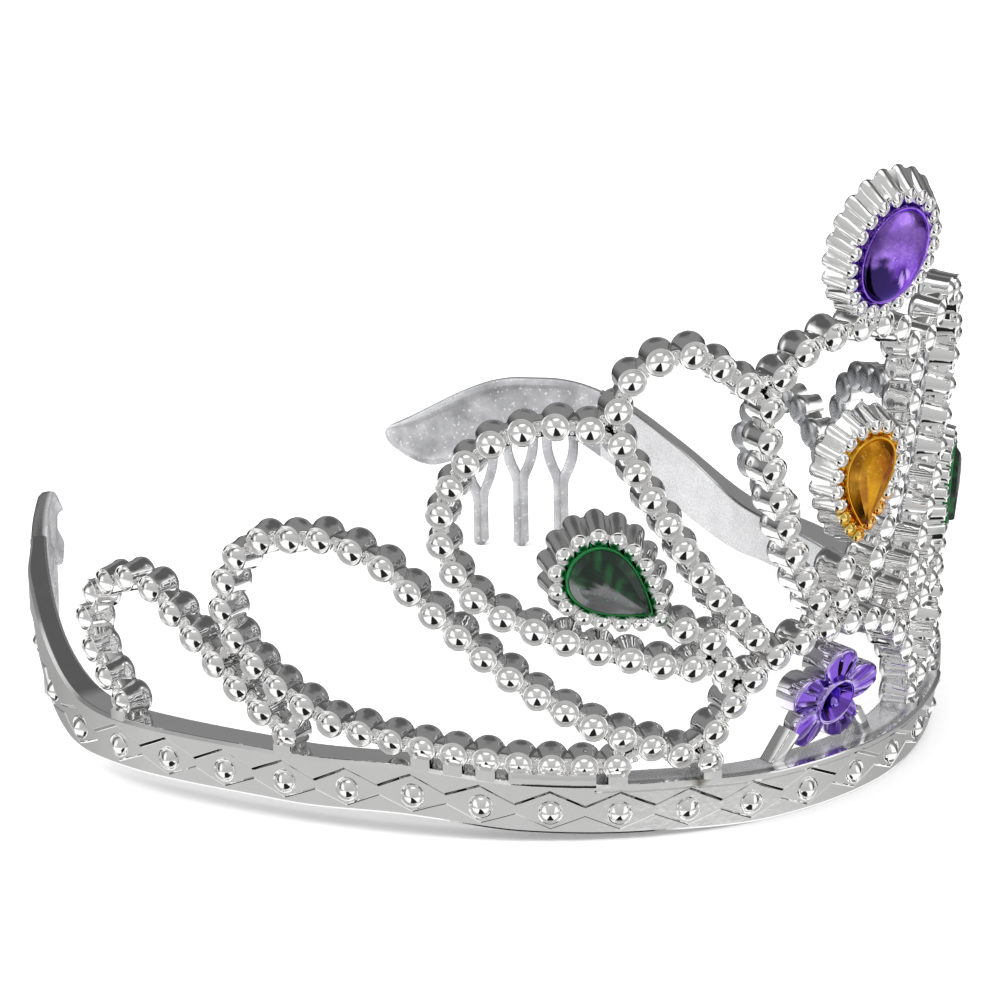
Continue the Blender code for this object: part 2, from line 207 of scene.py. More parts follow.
def trace_plan():
    """Places along the stud line, one every PLAN_STEP, seen from above."""
    places = [Vector((0.0, -HALF_DEPTH))]
    for step in range(int(PANEL_LENGTH / PLAN_STEP)):
        middle = (step + 0.5) * PLAN_STEP
        climb = stepped(PANEL_STEPS, middle + PLAN_STEP / 2) - stepped(PANEL_STEPS, middle - PLAN_STEP / 2)
        level = math.sqrt(PLAN_STEP ** 2 - climb ** 2)
        turn = panel_heading(middle)
        places.append(places[-1] + level * Vector((math.cos(turn), math.sin(turn))))
    return places


PLAN = trace_plan()


def panel_point(along, up, out):
    """The place, in metres, of a panel point; along is positive on the left of the wearer."""
    side = -1.0 if along < 0.0 else 1.0
    distance = abs(along)
    index = min(int(distance / PLAN_STEP), len(PLAN) - 2)
    plan = PLAN[index].lerp(PLAN[index + 1], distance / PLAN_STEP - index)
    turn = panel_heading(distance)
    outward = Vector((math.sin(turn), -math.cos(turn), 0.0))
    tilt = FRONT_LEAN * max(0.0, 1.0 - distance / LEAN_END)
    height = STUD_LINE_HEIGHT + stepped(PANEL_STEPS, distance) + up * math.cos(tilt)
    place = Vector((plan.x, plan.y, height)) + outward * (out + up * math.sin(tilt))
    place.x *= side
    return place * MM


def panel_frame(along, up, out=0.0):
    """A local frame on the panel in millimetres: X round the head, Y up, Z out of its face."""
    side = -1.0 if along < 0.0 else 1.0
    centre = panel_point(along, up, out)
    ahead = panel_point(along + 0.5 * side, up, out)
    above = panel_point(along, up + 0.5, out)
    round_head = (ahead - centre).normalized() * side
    upward = (above - centre).normalized()
    facing = round_head.cross(upward).normalized()
    upward = facing.cross(round_head)
    turned = Matrix((round_head, upward, facing)).transposed().to_4x4()
    return Matrix.Translation(centre) @ turned @ Matrix.Scale(MM, 4)


# ---- solids and pieces ----


class Solids:
    """Closed solids in metres that make up one piece, and how bare of plating each corner is."""

    def __init__(self):
        self.points = []
        self.faces = []
        self.bare = []

    def skin(self, rings, marks):
        """Join rings of equally many points and close both ends.

        A ring's mark is one number, or a list with a number for each of its points.
        """
        size = len(rings[0])
        first = len(self.points)
        for ring, mark in zip(rings, marks):
            self.points.extend(ring)
            self.bare.extend(mark if isinstance(mark, list) else [mark] * size)
        for row in range(len(rings) - 1):
            low = first + row * size
            for i in range(size):
                j = (i + 1) % size
                self.faces.append((low + i, low + j, low + size + j, low + size + i))
        self.faces.append(tuple(range(first + size - 1, first - 1, -1)))
        last = first + (len(rings) - 1) * size
        self.faces.append(tuple(range(last, last + size)))


def bareness(outline):
    """How bare each spot of an outline is: its third number, or nothing."""
    return [spot[2] if len(spot) > 2 else 0.0 for spot in outline]


def make_piece(name, solids, node, slot_name, spray=None, placing=None, sharp=38.0, plated=False):
    """One object from its solids, riding on the tiara and standing for its CAD node.

    A plated piece has the plating's material whatever its slot is.
    spray gives the colour and strength of the lacquer, glue, painted shade and painted highlights at points
    in the local frame of placing.
    """
    mesh = bpy.data.meshes.new(name)
    mesh.from_pydata([tuple(point) for point in solids.points], [], solids.faces)
    shape = bmesh.new()
    shape.from_mesh(mesh)
    bmesh.ops.recalc_face_normals(shape, faces=shape.faces[:])
    shape.to_mesh(mesh)
    shape.free()
    mesh.attributes.new("bare", "FLOAT", "POINT").data.foreach_set("value", solids.bare)
    colours = np.zeros((len(solids.points), 4), dtype=np.float32)
    if spray:
        points = np.array([tuple(point) for point in solids.points])
        if placing is not None:
            to_local = np.array(placing.inverted())
            points = points @ to_local[:3, :3].T + to_local[:3, 3]
        colours[:, :3], colours[:, 3] = spray(points)
    mesh.attributes.new("spray", "FLOAT_COLOR", "POINT").data.foreach_set("color", colours.ravel())
    mesh.shade_smooth()
    mesh.set_sharp_from_angle(angle=math.radians(sharp))
    mesh.materials.append(MATERIALS["silver_plate" if plated else slot_name])
    piece = bpy.data.objects.new(name, mesh)
    bpy.context.scene.collection.objects.link(piece)
    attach(piece, "root")
    if node:
        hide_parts(node)


# ---- beads ----


def bead_profile(radius, depth, flare, plain_back=False):
    """Half of a bead column's outline, back to front, as radius, out and bareness.

    The column widens by a flare towards its back; its front is a thin raised rim, a groove and a dome.
    """
    wide = radius + flare
    back = [(0.04, -depth, 1.0), (0.45 * wide, 0.02 - depth, 1.0), (0.78 * wide, 0.15 - depth, 1.0),
            (0.94 * wide, 0.42 - depth, 1.0), (0.99 * wide, 0.75 - depth, 0.6), (wide, 1.1 - depth)]
    if plain_back:
        back = [(0.04, -depth, 1.0), (0.85 * wide, -depth, 1.0), (0.985 * wide, 0.2 - depth, 0.6),
                (wide, 0.5 - depth)]
    slope = flare / (depth - 1.1)
    wall = [(radius + slope * (part * depth - 0.5) - 0.045, -part * depth) for part in (0.66, 0.5, 0.33)]
    rim = [(part * radius, out) for part, out in
           ((1.0, -0.62), (0.995, -0.3), (0.975, -0.17), (0.93, -0.12), (0.885, -0.17), (0.845, -0.42),
            (0.815, -0.46))]
    return back + wall + rim + dome_profile(0.79 * radius, -0.44)


def dome_profile(radius, base):
    """A dome that comes to a faint point, as radius and out."""
    steep, faint, steps = 0.86, 0.2, 9
    profile = [(radius, base)]
    for step in range(1, steps + 1):
        part = step / (steps + 0.3)
        slope = steep + (faint - steep) * (part - 0.5 / steps)
        spot = radius * (1.0 - part)
        base += (profile[-1][0] - spot) * math.tan(slope)
        profile.append((spot, base))
    return profile


def lathe(solids, profile, placing, segments, bend=None):
    """Turn a profile round the Z axis of placing, and bend each local point first if bend says how.

    The column's wall gets faint streaks that run along it, as a mould leaves them.
    """
    streaks = 1.0 + RANDOM.normal(0.0, 0.0035, segments)
    rings = []
    for radius, out, *_ in profile:
        ring = []
        for segment in range(segments):
            angle = 2 * math.pi * segment / segments
            reach = radius * (streaks[segment] if out < -0.32 and radius > 0.5 else 1.0)
            spot = (reach * math.cos(angle), reach * math.sin(angle), out)
            ring.append(placing @ Vector(bend(*spot) if bend else spot))
        rings.append(ring)
    solids.skin(rings, bareness(profile))


def raise_dome(x, y, z):
    """A bead's dome has its peak a little above its middle."""
    return x, y + 0.36 * max(0.0, z + 0.43), z


def wobble(axis):
    return Matrix.Rotation(RANDOM.normal(0.0, BEAD_WOBBLE), 4, axis)


def add_bead(solids, along, up):
    """One bead column of a row, very slightly out of true."""
    lean = wobble("X") @ wobble("Y")
    radius = BEAD_RADIUS * (1.0 + RANDOM.normal(0.0, 0.008))
    profile = bead_profile(radius, BEAD_DEPTH, BEAD_FLARE)
    lathe(solids, profile, panel_frame(along, up) @ lean, BEAD_SEGMENTS, raise_dome)


def add_bump(solids, place, facing, radius):
    """A tiny half-round bump."""
    turned = facing.to_track_quat("Z", "Y").to_matrix().to_4x4()
    placing = Matrix.Translation(place) @ turned @ Matrix.Scale(MM, 4)
    profile = [(radius * math.cos(angle), radius * math.sin(angle))
               for angle in (-0.6, -0.1, 0.4, 0.85, 1.25, 1.5)]
    lathe(solids, profile, placing, 10)


def rounded_web(half_width, front, back):
    """The outline across a web: across, out and bareness, round at all four edges."""
    w, r = half_width, 0.35
    return ((-w, front - r), (-w + 0.3 * r, front - 0.3 * r), (-w + r, front), (w - r, front),
            (w - 0.3 * r, front - 0.3 * r), (w, front - r), (w, back + 2 * r), (w, back + r, 1.0),
            (w - r, back, 1.0), (-w + r, back, 1.0), (-w, back + r, 1.0), (-w, back + 2 * r))


def add_link(solids, start, end, half_width=1.0, front=WEB_FRONT - 0.15, bumps=True):
    """A straight web between two panel points, with a pair of tiny bumps on it."""
    a, b = Vector(start), Vector(end)
    direction = (b - a).normalized()
    across = Vector((-direction.y, direction.x))
    outline = rounded_web(half_width, front, 0.15 - BEAD_DEPTH)
    rings = []
    for step in (0.0, 0.25, 0.5, 0.75, 1.0):
        spot = a.lerp(b, step)
        rings.append([panel_point(spot.x + across.x * part, spot.y + across.y * part, out)
                      for part, out, *_ in outline])
    solids.skin(rings, [bareness(outline)] * len(rings))
    if bumps:
        middle = a.lerp(b, 0.5)
        for offset in (-0.55, 0.6):
            spot = middle + across * (offset * half_width) + direction * RANDOM.normal(0.0, 0.12)
            placing = panel_frame(spot.x, spot.y, front)
            add_bump(solids, placing.translation, placing.col[2].to_3d(), 0.34 + RANDOM.normal(0.0, 0.03))


def smooth_curve(points, per_span=24):
    """A Catmull-Rom curve through the points, as many close points."""
    knots = [Vector(point) for point in points]
    ends = [2 * knots[0] - knots[1]] + knots + [2 * knots[-1] - knots[-2]]
    curve = []
    for before, start, end, after in zip(ends, ends[1:], ends[2:], ends[3:]):
        for step in range(per_span):
            t = step / per_span
            curve.append(0.5 * (2 * start + (end - before) * t
                                + (2 * before - 5 * start + 4 * end - after) * t ** 2
                                + (3 * start - before - 3 * end + after) * t ** 3))
    curve.append(knots[-1])
    return curve


def spread_along(curve, count, closed=False):
    """Evenly spaced points along a curve."""
    if closed:
        curve = list(curve) + [curve[0]]
    steps = [(end - start).length for start, end in zip(curve, curve[1:])]
    total = sum(steps)
    spread = []
    for index in range(count):
        left = total * index / (count if closed else count - 1)
        for start, step in zip(range(len(steps)), steps):
            if left <= step or start == len(steps) - 1:
                spread.append(curve[start].lerp(curve[start + 1], left / step))
                break
            left -= step
    return spread


def row_beads(beads, points, side):
    return [Vector((side * p.x, p.y)) for p in spread_along(smooth_curve(points), beads)]


def make_row(name, centres):
    """A row of beads on a web that runs through them, with bumps in the gaps."""
    solids = Solids()
    for start, end in zip(centres, centres[1:]):
        add_link(solids, start, end, WEB_HALF_WIDTH, WEB_FRONT)
    for centre in centres:
        add_bead(solids, centre.x, centre.y)
        top = band_edges(abs(centre.x))[0]
        if centre.y - top < FOOT_REACH:
            add_link(solids, (centre.x, centre.y - 0.9), (centre.x, top - 0.7), 1.35, 0.66, bumps=False)
    if name.endswith("low_loop_bottom"):
        side = math.copysign(1.0, centres[0].x)
        add_link(solids, (side * 34.6, 5.0), (side * 45.4, 5.0), 1.3, 0.7, bumps=False)
    make_piece(name + "_beads", solids, name, "silver_plate")


def make_links(prefix, rows):
    """Short webs that tie each row to the rows beside it."""
    solids = Solids()
    names = list(rows)
    for i, name in enumerate(names):
        for other in names[i + 1:]:
            if not (name.startswith(prefix) or other.startswith(prefix)):
                continue
            for a in rows[name]:
                for b in rows[other]:
                    if 0.5 < (a - b).length < LINK_REACH and a.x * b.x >= 0:
                        add_link(solids, a, b, 0.85)
    make_piece(prefix + "row_links", solids, None, "silver_plate")


# ---- the band ----


def band_edges(along):
    """How high the band's top and bottom edges are at a distance round the head."""
    lift = stepped(BAND_LIFT_STEPS, along)
    top = BAND_TOP + lift + stepped(BAND_TOP_STEPS, along)
    bottom = lift + stepped(BAND_BOTTOM_STEPS, along) - STUD_LINE_HEIGHT
    return top, bottom


def zigzag(along):
    """1 where a stud stands, 0 half way between two studs."""
    return abs((along / STUD_PITCH) % 1.0 - 0.5) * -2.0 + 1.0


def band_outline(along):
    """Across the band, from the lower edge round the face, the ledge and the back."""
    top, bottom = band_edges(along)
    stud_line = stepped(BAND_LIFT_STEPS, along)
    back = stepped(BAND_BACK_STEPS, along) - BAND_DEPTH
    wave = zigzag(along)
    fade = 1.0 - smooth_step(along, 134.0, 140.0)
    rail = 1.0 - smooth_step(along, 33.6, 34.4)
    slant = 0.36 - 0.24 * (1.0 - smooth_step(along, 12.0, 14.0))
    low = stud_line - 0.35 - 1.85 * wave
    high = stud_line + 0.75 + 2.0 * wave
    edge = high + 0.5
    proud = 0.72 * fade
    step = proud - 0.45 * rail
    lip = proud + 0.3 * rail
    inside = 1.0 + smooth_step(along, 44.0, 60.0)
    groove = max(min(top, stud_line + BAND_TOP) - 1.15, edge + 0.06)
    shelf = max(groove + 0.17, min(top, stud_line + BAND_TOP) - 0.8)
    return [
        (bottom + 0.3, back, inside), (bottom, back + 0.4, 0.3), (bottom, -0.3), (bottom + 0.08, -0.08),
        (bottom + 0.3, 0.0), (low - 0.16, 0.0), (low, 0.14 * fade), (low + 0.16, 0.0), (high - 0.05, 0.0),
        (high, 0.03 * fade), (high + 0.06, 0.32 * fade), (edge - 0.02, proud - 0.02 * fade),
        (edge + 0.04, proud), (groove, proud), (groove + 0.05, step), (shelf, step), (shelf + 0.05, lip),
        (top - 0.09 - slant, lip), (top - 0.04, lip - slant), (top, lip - 0.1 - slant),
        (top, -0.9, 1.7 * rail), (top - 0.02, back + 0.45, 1.7 * rail), (top - 0.3, back, inside),
    ]


def band_stations(start, end):
    """Places along the band: at each turn of its zigzags and evenly between them."""
    half = STUD_PITCH / 2
    turns = [half * step for step in range(math.ceil(start / half), math.floor(end / half) + 1)]
    marks = sorted({start, end, *turns})
    stations = []
    for low, high in zip(marks, marks[1:]):
        steps = max(1, round((high - low) / 1.1))
        stations += [low + (high - low) * step / steps for step in range(steps)]
    return stations + [end]


def stud_profile():
    flat = [(1.66, -0.4), (1.64, 0.12), (1.58, 0.26), (1.48, 0.28), (1.38, 0.2), (1.32, 0.1)]
    return flat + dome_profile(1.29, STUD_TOP - 0.78)


def make_band(name, start, end, side):
    """A stretch of the band; a start below zero is the other side of the centre line."""
    solids = Solids()
    if start < 0:
        half = band_stations(0.0, end)
        stations = [-along for along in reversed(half[1:])] + half
    else:
        stations = [side * along for along in band_stations(start, end)]
    outlines = [band_outline(abs(along)) for along in stations]
    rings = [[panel_point(along, up, out) for up, out, *_ in outline]
             for along, outline in zip(stations, outlines)]
    solids.skin(rings, [bareness(outline) for outline in outlines])
    corners, band_points = len(outlines[0]), len(solids.points)
    low, high = min(stations), max(stations)
    count = math.floor(BAND_BREAKS[-1] / STUD_PITCH)
    for number in range(-count - 1, count + 1):
        along = (number + 0.5) * STUD_PITCH
        if low < along < high and abs(along) < LAST_STUD:
            placing = panel_frame(along, stepped(BAND_LIFT_STEPS, abs(along))) @ wobble("X")
            lathe(solids, stud_profile(), placing, 24)
    spot = np.array(panel_point(*GLUE_SPOT))

    def glue_and_zigzag_shadow(points):
        """One dried drop of glue on the ledge, and a painted shadow under the zigzag's edge."""
        rows = np.arange(len(points))
        step = (rows < band_points) & np.isin(rows % corners, ZIGZAG_STEP)
        away = np.linalg.norm(points - spot, axis=1) / MM
        amount = np.clip((GLUE_RADIUS - away) / 0.4, 0.0, 0.85)
        return np.where(step[:, None], ZIGZAG_SHADOW_PAINT, GLUE), np.where(step, 0.85, amount)

    make_piece(name + "_relief", solids, name, "silver_plate", glue_and_zigzag_shadow, sharp=12.0)


def mirrored(half, middle=()):
    """An outline from its first half: the other half is the same, mirrored and in reverse."""
    return (*half, *middle, *((-part, level) for part, level in reversed(half)))


def make_tab(name, side):
    """The leaf-shaped plate at the end of an arm, thin at its rim and dished inside."""
    solids = Solids()
    stations = [BAND_BREAKS[-1] + step for step in range(0, 34)]
    stations += [TAB_TIP - TIP_ROUND + TIP_ROUND * math.sin(math.pi / 2 * step / 8) for step in range(9)]
    rings = []
    for along in stations:
        top, bottom = band_edges(along)
        middle, half = (top + bottom) / 2, (top - bottom) / 2
        close = max(0.0, (along - TAB_TIP + TIP_ROUND) / TIP_ROUND)
        half = max(half * math.sqrt(max(0.0, 1.0 - close ** 2)), 0.03)
        rim = min(1.0, half / 3.0)
        back = stepped(BAND_BACK_STEPS, along) - BAND_DEPTH
        thin = 0.9 * rim * smooth_step(along, 141.0, 150.0)
        outline = []
        for part, out in mirrored(((1.0, -1.5), (0.97, -0.7), (0.88, -0.25), (0.7, -0.05), (0.3, 0.0))):
            outline.append((middle - part * half, out * rim))
        marks = [0.55] * len(outline)
        for part, dish in mirrored(((0.985, 0.15), (0.93, 0.0), (0.8, 0.0), (0.72, 0.55), (0.55, 0.9)),
                                   ((0.0, 1.0),)):
            outline.append((middle + part * half, back * rim + thin * dish))
        marks += [1.0] * (len(outline) - len(marks))
        rings.append([panel_point(side * along, up, out) for up, out in outline])
    solids.skin(rings, [marks] * len(rings))
    make_piece(name + "_leaf", solids, name, "pearl_plastic")


def table_level(along):
    """How high above the stud line the table lies."""
    return -STUD_LINE_HEIGHT - stepped(PANEL_STEPS, along)


def make_tooth(name, along, side):
    """A comb tooth: two prongs curve in from the tab and run together into one round-ended stem."""
    solids = Solids()
    top = band_edges(along)[1]
    foot = table_level(along)
    for hand in (-1.0, 1.0):
        route = smooth_curve(((2.0, top + 0.9), (2.15, top - 1.6), (1.95, top - 3.6), (1.35, top - 5.6),
                              (0.62, top - 7.3), (0.3, top - 9.0), (0.28, (top + foot) / 2 - 3.0),
                              (0.28, foot + 0.02)), 8)
        rings = []
        for index, point in enumerate(route):
            left = point.y - foot
            thick = math.sqrt(max(0.0, 1.0 - max(0.0, 1.0 - left / 0.85) ** 2))
            width = (0.82 + 0.12 * smooth_step(-point.y, -top + 6.0, -top + 10.0)) * max(thick, 0.05)
            depth = 0.78 * max(thick, 0.05)
            ahead = route[min(index + 1, len(route) - 1)] - route[max(index - 1, 0)]
            across = Vector((ahead.y, -ahead.x)).normalized()
            ring = []
            for corner in range(TOOTH_CORNERS):
                angle = 2 * math.pi * corner / TOOTH_CORNERS
                offset = across * (width * math.copysign(abs(math.cos(angle)) ** 0.75, math.cos(angle)))
                out = TOOTH_MIDDLE + depth * math.copysign(abs(math.sin(angle)) ** 0.75, math.sin(angle))
                spot = point + offset
                place = along + hand * spot.x
                ring.append(panel_point(side * place, max(spot.y, table_level(place)), out))
            rings.append(ring)
        solids.skin(rings, [1.0] * len(rings))
    make_piece(name + "_prongs", solids, name, "pearl_plastic")


# ---- stones and settings ----


def outline_angles():
    return [2 * math.pi * step / OUTLINE_POINTS for step in range(OUTLINE_POINTS)]


def drop_outline():
    """A teardrop with its point at +X: a full round end that draws in to a point."""
    outline = []
    for angle in outline_angles():
        across = math.sin(angle) * abs(math.sin(angle / 2)) / 0.77
        outline.append(Vector((math.cos(angle) * DROP_LENGTH / 2, across * DROP_WIDTH / 2)))
    return outline


def oval_outline():
    return [Vector((math.cos(a) * OVAL_WIDTH / 2, math.sin(a) * OVAL_HEIGHT / 2)) for a in outline_angles()]


def grown(outline, margin):
    """The outline moved outward by a margin."""
    centre = sum(outline, Vector((0.0, 0.0))) / len(outline)
    moved = []
    for i, point in enumerate(outline):
        along = outline[(i + 1) % len(outline)] - outline[i - 1]
        normal = Vector((along.y, -along.x)).normalized()
        if normal.dot(point - centre) < 0:
            normal = -normal
        moved.append(point + normal * margin)
    return moved


def stone_frame(centre_along, centre_up, turn, out, tilt, side):
    """A local frame in millimetres: X along the stone's own axis, Z out of its face."""
    placing = panel_frame(side * max(centre_along, 1e-6), centre_up, out)
    turn = math.pi + turn if side > 0 else -turn
    return placing @ Matrix.Rotation(tilt, 4, "X") @ Matrix.Rotation(turn, 4, "Z")


def ring_at(outline, level, placing, shift=Vector((0.0, 0.0))):
    return [placing @ Vector((p.x + shift.x, p.y + shift.y, level)) for p in outline]


def scaled_rings(outline, profile, placing):
    return [ring_at([p * scale for p in outline], level, placing) for scale, level in profile]


def make_setting(name, outline, depth, flare, lift, beading, placing, spray):
    """A ring of small bead columns round a trough, on a flared body with a closed back."""
    solids = Solids()
    bead, pitch, scallop = beading
    ring_line = grown(outline, BEZEL_WIDTH - bead)
    length = sum((a - b).length for a, b in zip(ring_line, ring_line[1:] + ring_line[:1]))
    count = round(length / pitch)
    fronts = spread_along(ring_line, count, closed=True)
    backs = spread_along(grown(outline, BEZEL_WIDTH - bead + flare), count, closed=True)
    profile = bead_profile(bead, depth, flare / 5.0, plain_back=True)
    shift = Vector((0.0, lift))
    for front, back in zip(fronts, backs):
        drift = back - front + shift
        lean = Vector((RANDOM.normal(0.0, 0.05), RANDOM.normal(0.0, 0.05)))

        def spread(x, y, z):
            """Move a bead's local point out to the ring, further out towards its back."""
            spot = front + drift * min(max(-z / depth, 0.0), 1.0)
            nod = lean.x * x + lean.y * y if z > -0.6 else 0.0
            return spot.x + x, spot.y + y, z + nod

        lathe(solids, profile, placing, SMALL_SEGMENTS, spread)
    wall = BEZEL_WIDTH - scallop
    # How far out of the stone's outline and how high each ring is, from the stone round to the back.
    levels = (
        (0.02, -1.3), (0.04, -0.5), (0.3, -0.75), (0.75, -0.72), (BEZEL_WIDTH - bead, -0.62),
        (wall - 0.1, -0.75), (wall, -1.2), (wall + flare, 0.5 - depth), (BEZEL_WIDTH - 0.8 + flare, -depth),
        (flare + 0.6, -depth), (flare - 0.4, 0.55 - depth),
    )
    shifts = [0.0] * 6 + [0.1] + [1.0] * 4
    rings = [ring_at(grown(outline, out), level, placing, shift * part)
             for (out, level), part in zip(levels, shifts)]
    rings.append(ring_at([p * 0.3 for p in outline], 0.8 - depth, placing, shift))
    solids.skin(rings, [0.0] * 8 + [1.0] * 4)
    make_piece(name + "_bezel", solids, name, "silver_plate", spray, placing)


def make_oval_stone(name, outline, placing, slot_name):
    """A smooth oval cabochon inside a thin raised line."""
    solids = Solids()
    profile = [(1.0, -1.25), (1.0, 0.0), (0.995, 0.16), (0.975, 0.2), (0.95, 0.14), (0.935, 0.06)]
    for step in range(1, 12):
        angle = math.pi / 2 * step / 11.4
        profile.append((0.93 * math.cos(angle) ** 0.9, 0.06 + 1.5 * math.sin(angle) ** 1.15))
    rings = scaled_rings(outline, profile, placing)
    solids.skin(rings, [0.0] * len(rings))

    def shade(local):
        """Painted dark reflection in the lower left of the stone, and painted pale glints beside it."""
        x, y = local[:, 0] / (OVAL_WIDTH / 2), local[:, 1] / (OVAL_HEIGHT / 2)
        line = -0.42 * x - y - 0.18 + 0.12 * np.sin(9.0 * x) + 0.07 * np.sin(21.0 * y)
        amount = np.clip(line / 0.16, 0.0, 1.0) * np.clip((0.28 - x) / 0.15, 0.0, 1.0)
        amount = np.maximum(amount, 0.45 * np.clip((-x - 0.45) / 0.3, 0.0, 1.0)) * (np.hypot(x, y) < 0.94)
        glint = np.exp(-((x - 0.2) / 0.2) ** 2 - ((y + 0.42) / 0.24) ** 2)
        glint *= 0.6 + 0.4 * np.sin(26.0 * x + 17.0 * y)
        clear = glint > 0.35
        return np.where(clear[:, None], GLINT, OVAL_PAINTED_DARK), np.where(clear, glint, amount)

    make_piece(name + "_cabochon", solids, name, slot_name, shade, placing, sharp=50.0)


def make_drop_stone(name, outline, placing, slot_name):
    """A drop cut in long facets that run from its round end to its point."""
    solids = Solids()
    profile = [(1.0, -1.25), (1.0, 0.0), (0.992, 0.14), (0.97, 0.17), (0.945, 0.1), (0.93, 0.0)]
    table = [Vector((x * DROP_LENGTH / 2, y * DROP_WIDTH / 2)) for x, y in
             ((0.86, 0.0), (-0.34, 0.46), (-0.66, 0.22), (-0.66, -0.22), (-0.34, -0.46))]
    rings = scaled_rings(outline, profile, placing)
    for part, level in ((0.0, 0.14), (0.5, 0.8), (1.0, STONE_PROUD - 0.12), (0.75, STONE_PROUD - 0.095),
                        (0.45, STONE_PROUD - 0.085), (0.2, STONE_PROUD - 0.08)):
        ring = []
        for point in outline:
            inward = nearest_on(table, point)
            start = point * 0.92
            spot = start.lerp(inward, part) if level < STONE_PROUD - 0.1 else inward * part
            ring.append(placing @ Vector((spot.x, spot.y, level)))
        rings.append(ring)
    solids.skin(rings, [0.0] * len(rings))
    stone_up = math.copysign(1.0, placing.inverted()[1][2])

    def shade(local):
        """Lacquer colour on the rim, and painted shade on the ridges, the tip and the upper or outer facets
        of the stone.
        """
        x, y = local[:, 0] / (DROP_LENGTH / 2), local[:, 1] / (DROP_WIDTH / 2)
        high = y * stone_up + 0.25 * np.clip((-0.35 - x) / 0.1, -1.0, 1.0) + 0.25
        edge = 0.46 * (0.86 - x) / 1.2
        rim = np.arange(len(x)) < len(profile) * len(outline)
        ridge = np.clip(1.0 - np.abs(np.abs(y) - edge) / 0.07, 0.0, 1.0) * (x > -0.4)
        beside = np.clip((np.abs(y) - edge) / 0.08, 0.0, 1.0)
        tip = np.clip((x - 0.66) / 0.12, 0.0, 1.0)
        upper = np.clip(high / 0.07, 0.0, 1.0)
        rim_tint, painted_shade, strengths = DROP_RIM_COLOURS_AND_SHADE[slot_name]
        parts = zip(strengths, (beside, ridge, tip, upper))
        amount = np.max([strength * part for strength, part in parts], axis=0)
        drift = np.clip(np.sin(9.0 * x + 1.0) * np.sin(7.0 * y + 13.0 * x) - 0.1, 0.0, 0.6)[:, None]
        inner = np.array(painted_shade) + drift * np.array(rim_tint) * 0.5
        return np.where(rim[:, None], rim_tint, inner), np.where(rim, 0.9, amount)

    make_piece(name + "_cut", solids, name, slot_name, shade, placing, sharp=6.0)


def nearest_on(polygon, point):
    """The point of a polygon's edge that lies on the way from its middle to a point."""
    middle = Vector((-0.9, 0.0))
    ray = point - middle
    best = None
    for start, end in zip(polygon, polygon[1:] + polygon[:1]):
        edge = end - start
        bottom = ray.x * edge.y - ray.y * edge.x
        if abs(bottom) < 1e-9:
            continue
        gap = start - middle
        reach = (gap.x * edge.y - gap.y * edge.x) / bottom
        part = (gap.x * ray.y - gap.y * ray.x) / bottom
        if reach > 0 and -1e-6 <= part <= 1.0 + 1e-6:
            best = middle + ray * reach
    return best


def sprayer(colour, outline, tip_reach):
    """Lacquer that has settled in the trough round a stone and on the beads near its point."""
    edge = np.array([tuple(p) for p in outline])

    def spray(local):
        flat = np.linalg.norm(local[:, None, :2] - edge[None, :, :], axis=2).min(axis=1)
        trough = np.clip((0.5 - flat) / 0.2, 0.0, 1.0) * (local[:, 2] > -1.4)
        towards_tip = np.clip((local[:, 0] - tip_reach) / 1.2, 0.0, 1.0)
        on_beads = np.clip((2.5 - flat) / 0.7, 0.0, 1.0) * towards_tip * (local[:, 2] > -1.0)
        yellow = (local[:, 1] < 0.0) & (flat > 0.5) & (colour == "amber")
        colours = np.where(yellow[:, None], AMBER_BEADS, LACQUERS[colour])
        return colours, np.maximum(trough, 0.85 * on_beads)

    return spray


def set_stone(prefix, choice, side):
    colour, shape, along, up, turn, out, depth, tilt = choice
    placing = stone_frame(along, up, turn, out, tilt, side)
    stone_name, setting_name = f"{prefix}{colour}_stone", f"{prefix}{colour}_setting"
    slot_name = colour + "_lacquer"
    if shape == "drop":
        outline = drop_outline()
        spray = sprayer(colour, outline, DROP_LENGTH * (0.2 if colour == "amber" else 0.6))
        beading = FLUTED_BEADING if colour == "amber" else ROUND_BEADING
        make_setting(setting_name, outline, depth, DROP_FLARE, 0.0, beading, placing, spray)
        make_drop_stone(stone_name, outline, placing, slot_name)
    else:
        outline = oval_outline()
        spray = sprayer(colour, outline, NO_TIP)
        make_setting(setting_name, outline, depth, OVAL_FLARE, OVAL_LIFT, FLUTED_BEADING, placing, spray)
        make_oval_stone(stone_name, outline, placing, slot_name)


# ---- the flower ----


def petal_reach(angle):
    lobe = np.abs(np.cos(PETALS * (angle - math.pi / 2) / 2)) ** 0.6
    return FLOWER_RADIUS * (0.5 + 0.5 * lobe)


